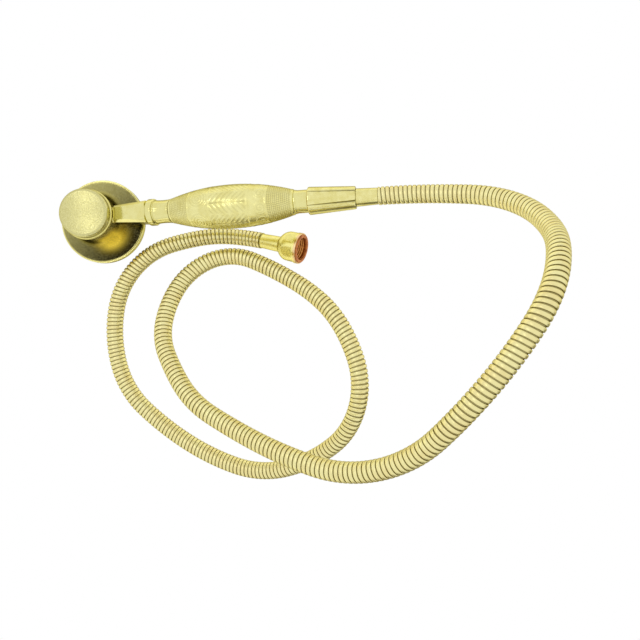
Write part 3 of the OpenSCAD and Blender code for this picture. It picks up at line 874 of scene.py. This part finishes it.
def hose_spans(step):
    """Spans of hose with the bodies that carry each: mid-link to mid-link, and half a link at both ends."""
    middles = [round((a + b) / 2 / step) * step for a, b in zip(STOP_S, STOP_S[1:])]
    spans = [(0.0, middles[0], "hose_1", None)]
    spans += [(middles[k - 1], middles[k], f"hose_{k}", f"hose_{k + 1}") for k in range(1, 7)]
    return spans + [(middles[-1], None, "hose_7", None)]


def hang_on(piece, first, second, link, nodes):
    """Rides a span of hose on its body. A span across the flex point between two bodies is fixed in place
    where it lies and does not bend.
    """
    if second is None:
        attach(piece, first)
    else:
        middle, side, up, _ = (values[0] for values in LINE.at([STOP_S[link]]))
        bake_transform(piece)
    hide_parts(*nodes)


def span_nodes(kind, link):
    return [f"{kind}_{k}" for k in (link, link + 1) if 1 <= k <= 7]


def sheath():
    """Strip of metal wound into a hose: bands close up on the inside of a bend and open on the outside."""
    turns = round(LINE.length / PITCH)
    pitch = LINE.length / turns
    floor_r = 6.15  # bottom of the groove between two bands
    # (share of the band's width, step past the band's edge, radius, painted shade)
    profile = [(-0.5, 0, floor_r, 1), (-0.5, 0, 6.5, 0.6), (-0.5, 0.2, 6.82, 0.12), (-0.26, 0, 6.96, 0),
               (0, 0, HOSE_R, 0), (0.26, 0, 6.96, 0), (0.5, -0.2, 6.82, 0.12), (0.5, 0, 6.5, 0.6),
               (0.5, 0, floor_r, 1), (None, 0.06, floor_r, 1), (None, 0.06, SHEATH_IN_R, 1),
               (-0.5, 0, SHEATH_IN_R, 1)]
    for link, (begin, finish, first, second) in enumerate(hose_spans(pitch)):
        h = np.arange(round(begin / pitch) * AROUND, round((finish or LINE.length) / pitch) * AROUND + 1)
        if finish is None:
            h = np.arange(h[0], turns * AROUND + AROUND // 2)
        phi, s = h * TAU / AROUND, h * pitch / AROUND
        _, side, up, bend = LINE.at(s)
        radial = side * np.cos(phi)[:, None] + up * np.sin(phi)[:, None]
        stretch = 1 - HOSE_R * np.sum(radial * bend, 1)
        width = np.minimum(BAND, 0.93 * pitch * stretch) / stretch
        points, dark = [], []
        for share, past, r, darkness in profile:
            shift = pitch - width / 2 + past if share is None else share * width + past
            centre, side, up, _ = LINE.at(np.clip(s + shift, 0.05, LINE.length - 0.05))
            points.append(centre + r * (side * np.cos(phi)[:, None] + up * np.sin(phi)[:, None]))
            dark.append(np.full(len(h), darkness))
        points, dark = np.stack(points, 1), np.stack(dark, 1)
        count = len(profile)
        faces = grid_faces(len(h), count, flip=True)
        faces += [tuple(range(count)), tuple(range(len(h) * count - 1, (len(h) - 1) * count - 1, -1))]
        # Painted shade: the grooves between the bands are darkened, in place of the shade that falls in
        # them.
        piece = mesh_object(f"wound_sheath_{link}", points.reshape(-1, 3), faces, GOLD_HOSE, 50,
                            {"painted_shade": 0.75 * dark.ravel()})
        hang_on(piece, first, second, link, span_nodes("sheath", link))


def liner():
    """Plain water tube inside the sheath, bending with it."""
    step, columns = 4.0, 40
    lead_in = HOSE_START - handle_dir * 34
    lead_out = TAP[:3, 3] + TAP[:3, 2] * 24.9
    for link, (begin, finish, first, second) in enumerate(hose_spans(step)):
        end = LINE.length if finish is None else finish
        s = np.linspace(begin, end, max(2, round((end - begin) / step)) + 1)
        centre, side, up, _ = LINE.at(s)
        if link == 0:
            centre = np.concatenate([[lead_in], centre])
            side, up = (np.concatenate([v[:1], v]) for v in (side, up))
        if finish is None:
            centre = np.concatenate([centre, [lead_out]])
            side, up = (np.concatenate([v, v[-1:]]) for v in (side, up))
        phi = (np.arange(columns) * TAU / columns)[None, :, None]
        ring = side[:, None] * np.cos(phi) + up[:, None] * np.sin(phi)
        outer, inner = (centre[:, None] + r * ring for r in (LINER_R, LINER_IN_R))
        points, faces = polar_shell(outer, inner)
        piece = mesh_object(f"water_liner_{link}", points, [f[::-1] for f in faces], LINER_SKIN, 50)
        hang_on(piece, first, second, link, span_nodes("liner", link))


# ---- Tap end ----


def tap_nut():
    """Six-sided nut with a domed shoulder, a round lip at its mouth, and a pipe thread inside."""
    start, end, mouth_r = reach("tap_nut", TAP)
    flat_r, dome_len, dome_base, lip_round = 12.3, 11, 7, 0.45
    dome_r = (dome_len ** 2 + (mouth_r - dome_base) ** 2) / (2 * (mouth_r - dome_base))
    columns = 216
    length = end - start
    along = np.concatenate([
        [0, 0.1, 0.3], np.linspace(0.6, dome_len, 26), np.linspace(dome_len + 0.4, length - 4.6, 8),
        np.linspace(length - 4.2, length - 3.4, 6), np.linspace(length - 3, length - 0.7, 5),
        [length - lip_round, length - 0.2, length - 0.05, length]])
    angle = np.arange(columns) * TAU / columns
    dome = mouth_r - dome_r + np.sqrt(dome_r ** 2 - np.clip(dome_len - along, 0, None) ** 2)
    dome = dome - 0.3 * np.clip(1 - along / 0.3, 0, 1)
    facet = flat_r / np.cos((angle % (TAU / 6)) - TAU / 12)
    low = np.minimum(dome[:, None], facet[None, :])
    soft = 0.3
    gap = np.abs(dome[:, None] - facet[None, :])
    radius = low - np.clip(soft - gap, 0, None) ** 2 / (4 * soft)
    lip = smooth_step(length - 4.1, length - 3.6, along)[:, None]
    past_round = np.clip(along - (length - lip_round), 0, None) / lip_round
    lip_edge = lip_round * (1 - np.sqrt(np.clip(1 - past_round ** 2, 0, 1)))
    radius = radius * (1 - lip) + (mouth_r - lip_edge[:, None]) * lip
    outer = turned_rows(radius, angle, start + along[:, None])
    seat_r, seat_depth, neck_r, tooth, thread_pitch, thread_start = 12.3, 1.2, 6.1, 0.62, 1.814, 10.6
    ring_seat = 7.5 - 0.04  # just clear of the slip ring, which bears on this face
    relief_r = THREAD_BORE + 0.2
    inner = [(seat_r, length), (seat_r, length - seat_depth)]
    inner += [(None, s) for s in np.linspace(length - seat_depth, thread_start, 74)]
    inner += [(relief_r, thread_start), (relief_r, ring_seat), (neck_r, ring_seat), (neck_r, 0)]
    rings = []
    for r, s in inner:
        if r is None:
            wave = 0.5 - 0.5 * np.cos(TAU * s / thread_pitch - angle)
            ends = min(1, (length - seat_depth - s) / 0.8, (s - thread_start) / 0.8)
            r = THREAD_BORE + tooth * max(ends, 0) * wave
        rings.append(turned_rows(r, angle, start + s))
    loop = np.concatenate([outer, np.array(rings)])
    faces = grid_faces(len(loop), columns, close_rows=True)
    piece = mesh_object("round_shoulder_nut", carry(TAP, loop.reshape(-1, 3)), faces, GOLD_TAP, 32)
    piece.data.materials.append(PEACH_LIP)
    piece.data.materials.append(THREAD)
    for polygon in piece.data.polygons[len(along) * columns:]:
        polygon.material_index = 2
    peach_len = 2.2
    first, last = int(np.sum(along < length - peach_len)) * columns, (len(along) + 1) * columns
    for polygon in piece.data.polygons[first:last]:
        polygon.material_index = 1
    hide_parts("tap_nut")
    return piece


def tap_insert():
    """Flanged insert with a barbed tail, and rings turned into the face of its flange."""
    start, end, flange_r = reach("tap_insert", TAP)
    flange, bore, tail, barbs, barb_step = 2, 2.7, 3.55, 4, 3
    outline = [(bore, end - 0.5), (bore + 0.5, end)]
    for inside, outside, depth in ((4.1, 5.3, 0.35), (7.4, 8.4, 0.25)):
        outline += [(inside, end), (inside + 0.2, end - depth)]
        outline += [(outside - 0.2, end - depth), (outside, end)]
    outline += [(flange_r - 0.2, end), (flange_r, end - 0.2)]
    outline += [(flange_r, end - flange), (tail - 0.15, end - flange)]
    for i in reversed(range(barbs)):
        wide = start + 1 + barb_step * i + 2
        outline += [(tail - 0.2, wide + 0.05), (tail, wide), (tail - 0.3, wide - 2)]
    outline += [(tail - 0.4, start), (bore, start)]
    piece = lathe("tap_barbed_insert", outline, TAP, BRASS, 96, 28)
    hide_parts("tap_insert")
    return piece


# ---- Scene ----


def finish_cad_nodes():
    """Gives each CAD node that is still shown its finish."""
    finishes = {
        BRASS: ("water_tube", "tail_fitting", "handset_insert"),
        NYLON: ("distributor", "valve_cage", "valve_seat", "valve_poppet", "slip_ring", "tap_slip_ring"),
        STEEL: ("face_screw",),
    }
    for material, nodes in finishes.items():
        for node in nodes:
            data = frame["nodes"][node].data
            data.materials.clear()
            data.materials.append(material)


def table_top():
    """Pale, faintly uneven surface. Reflections of it are warmer, with a painted dark band towards one side
    in place of the shade beside the object.

    The camera sees the white world through it, so a hose that hangs lower at some pose still shows.
    """
    n = Nodes("table_top")
    ray = n.add("ShaderNodeLightPath").outputs
    glossy = ray["Is Glossy Ray"]
    pale = n.ramp(n.noise(3, 2), (0.3, (0.86, 0.86, 0.85)), (0.7, (0.9, 0.9, 0.89)))
    toward = n.add("ShaderNodeVectorMath", operation="DOT_PRODUCT")
    n.link(n.add("ShaderNodeNewGeometry").outputs["Incoming"], toward.inputs[0])
    toward.inputs[1].default_value = -DIM_SIDE
    mirrored = n.ramp(toward.outputs["Value"], (0.62, PALE_MIRROR), (0.76, DARK_MIRROR),
                      (0.93, DARK_MIRROR), (0.98, PALE_MIRROR))
    n.link(n.mix(glossy, pale, mirrored), n.shader.inputs["Base Color"])
    n.shader.inputs["Roughness"].default_value = 0.75
    n.shader.inputs["Specular IOR Level"].default_value = 0.1
    n.link(n.mix(glossy, (1, 1, 1), mirrored), n.shader.inputs["Emission Color"])
    n.shader.inputs["Emission Strength"].default_value = TABLE_GLOW
    n.link(n.scale_to(ray["Is Camera Ray"], 1, 0), n.shader.inputs["Alpha"])
    return n.material


TABLE_GLOW = 0.5
# DARK_MIRROR is painted shade: reflections of the table are dark in that band, in place of the shade beside
# the object.
PALE_MIRROR, DARK_MIRROR = (0.82, 0.8, 0.7), (0.12, 0.11, 0.07)
WORLD_PALE, WHITE = (0.93, 0.93, 0.92), (1, 1, 1, 1)
DIM_PATCH = (0.035, 0.03, 0.015, 1)
SKY_LEVEL = 0.95  # brightness of the light tent in reflections
DIM_SIDE = Vector((0.5, -0.86, 0))  # direction of the dim patch in the tent
LAMP_PLACES = [(-0.33, 0.36, 0.87), (-0.31, 0.05, 0.94)]
LAMP_SIZE, LAMP_POWER = 0.1, 0.15
SENSOR_MM, LENS_MM = 36, 29.8
CAMERA_PLACE, CAMERA_TURN = Vector((191.5, -94.6, 480)), math.radians(-1.9)


def tent():
    """World like a white light tent with a dim patch low on one side, seen only in reflections."""
    world = bpy.data.worlds.new("tent")
    bpy.context.scene.world = world
    world.use_nodes = True
    tree = world.node_tree

    def add(kind, **settings):
        node = tree.nodes.new(kind)
        for key, value in settings.items():
            setattr(node, key, value)
        return node

    def ramp(value, stops):
        node = add("ShaderNodeValToRGB")
        while len(node.color_ramp.elements) < len(stops):
            node.color_ramp.elements.new(0.5)
        for stop, (at, level) in zip(node.color_ramp.elements, stops):
            stop.position, stop.color = at, (level, level, level, 1)
        tree.links.new(value, node.inputs["Fac"])
        return node.outputs["Color"]

    toward = add("ShaderNodeTexCoord").outputs["Generated"]
    split = add("ShaderNodeSeparateXYZ")
    tree.links.new(toward, split.inputs["Vector"])
    side = add("ShaderNodeVectorMath", operation="DOT_PRODUCT")
    tree.links.new(toward, side.inputs[0])
    side.inputs[1].default_value = DIM_SIDE
    band = ramp(split.outputs["Z"], [(0.0, 0.2), (0.08, 0.2), (0.2, 0.0)])
    patch = ramp(side.outputs["Value"], [(0.1, 0.12), (0.75, 1.0)])
    dim = add("ShaderNodeMath", operation="MULTIPLY")
    tree.links.new(band, dim.inputs[0])
    tree.links.new(patch, dim.inputs[1])
    sky = add("ShaderNodeMix", data_type="RGBA")
    tree.links.new(dim.outputs[0], sky.inputs[0])
    sky.inputs[6].default_value = (SKY_LEVEL, SKY_LEVEL, SKY_LEVEL, 1)
    sky.inputs[7].default_value = DIM_PATCH
    ray = add("ShaderNodeLightPath").outputs
    mirrored = add("ShaderNodeMix", data_type="RGBA")
    tree.links.new(ray["Is Glossy Ray"], mirrored.inputs[0])
    mirrored.inputs[6].default_value = (*WORLD_PALE, 1)
    tree.links.new(sky.outputs[2], mirrored.inputs[7])
    seen = add("ShaderNodeMix", data_type="RGBA")
    tree.links.new(ray["Is Camera Ray"], seen.inputs[0])
    tree.links.new(mirrored.outputs[2], seen.inputs[6])
    seen.inputs[7].default_value = WHITE
    tree.links.new(seen.outputs[2], tree.nodes["Background"].inputs["Color"])


def studio():
    """Pale table, light tent and two small soft lamps above the head."""
    below_part = 0.5 * MM
    bpy.ops.mesh.primitive_plane_add(size=12, location=(0, 0, -below_part))
    table = bpy.context.object
    table.name = "table"
    table.data.materials.append(table_top())
    tent()
    low, high = (Vector(corner) for corner in cad_box)
    middle = (low + high) / 2
    for place in LAMP_PLACES:
        light = bpy.data.lights.new("softbox", "AREA")
        light.shape, light.size, light.energy = "DISK", LAMP_SIZE, LAMP_POWER
        lamp = bpy.data.objects.new("softbox", light)
        lamp.location = place
        lamp.rotation_euler = (middle - lamp.location).to_track_quat("-Z", "Y").to_euler()
        bpy.context.scene.collection.objects.link(lamp)


def camera():
    """Straight above the table, over the middle of the coil, turned a little clockwise."""
    data = bpy.data.cameras.new("camera")
    data.sensor_width, data.lens = SENSOR_MM, LENS_MM
    eye = bpy.data.objects.new("camera", data)
    eye.location = CAMERA_PLACE * MM
    eye.rotation_euler = (0, 0, CAMERA_TURN)
    bpy.context.scene.collection.objects.link(eye)
    bpy.context.scene.camera = eye
    bpy.context.scene.view_settings.view_transform = "Standard"


for build in (bell, rim, spray_plate, cap, neck, bead, front_collar, grip, tail_collar, spring, tube_seals):
    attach(build(), "handset")
seal("cap_gasket", "cap_seal", RUBBER)
seal("face_gasket", "face_seal", RUBBER)
seal("hose_washer", "handset_washer", RUBBER, place=HANDLE)
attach(fluted_nut(), "fluted_nut")
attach(hose_ferrule(), "hose_1")
sheath()
liner()
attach(tap_end_ferrule(), "hose_7")
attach(tap_insert(), "hose_7")
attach(tap_nut(), "tap_nut")
seal("mouth_gasket", "tap_gasket", RED_RUBBER, 0.6, TAP, "tap_nut")
finish_cad_nodes()
studio()
camera()
